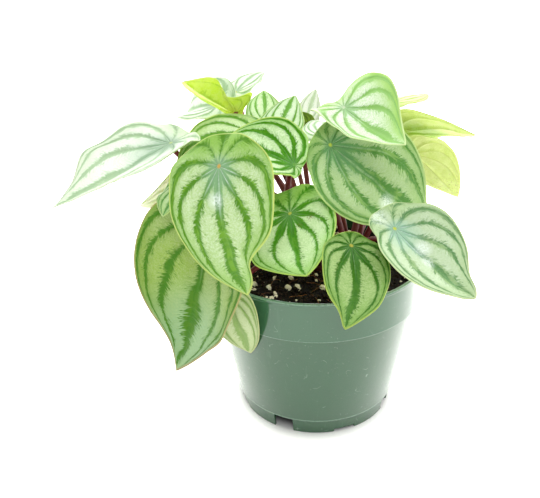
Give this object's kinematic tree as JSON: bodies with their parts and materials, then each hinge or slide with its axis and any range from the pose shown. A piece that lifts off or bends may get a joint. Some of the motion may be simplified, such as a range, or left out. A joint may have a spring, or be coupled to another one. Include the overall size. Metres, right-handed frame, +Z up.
{
  "type": "potted peperomia",
  "caption": "Low mound of striped, pointed round leaves on thin red stalks, growing in soil in a small tapered plastic nursery pot.",
  "frame": {"origin": "on the surface that the pot stands on, under the middle of the whole plant's box", "axes": "+Z up along the pot, -Y toward the side that the picture is taken from, +X to the right in the picture"},
  "size_m": [0.1832, 0.1909, 0.1686],
  "materials": {
    "pot": "moulded grey-green plastic, semi-gloss, lightly scuffed",
    "soil": "dark moist potting mix with cream perlite grains and brown fibres",
    "stalk": "smooth dark red, slightly translucent stalks",
    "blade": "waxy, slightly quilted leaf, silver-green with dark green bands along the main veins"
  },
  "bodies": {
    "root": {"pot": "pot", "soil": "soil", "stalks_left": "stalk", "stalks_front": "stalk", "stalks_right": "stalk", "stalks_back": "stalk", "leaf_far_left": "blade", "leaf_curled": "blade", "leaf_top_pale": "blade", "leaf_back_left": "blade", "leaf_young_left": "blade", "leaf_young_middle": "blade", "leaf_sprout": "blade", "leaf_upper_left": "blade", "leaf_cupped": "blade", "leaf_large_front": "blade", "leaf_hanging_left": "blade", "leaf_faded": "blade", "leaf_side_under": "blade", "leaf_side_shaded": "blade", "leaf_heart": "blade", "leaf_large_right": "blade", "leaf_top_right": "blade", "leaf_pale_small": "blade", "leaf_front_rim": "blade", "leaf_front_right": "blade", "leaf_right_yellow": "blade", "leaf_right_hanging": "blade", "leaf_back_edge": "blade", "leaf_olive_small": "blade", "leaf_rear_left": "blade", "leaf_rear_middle": "blade", "leaf_rear_right": "blade", "leaf_rear_low_right": "blade", "leaf_rear_low_left": "blade", "leaf_rear_low": "blade"}
  },
  "joints": []
}
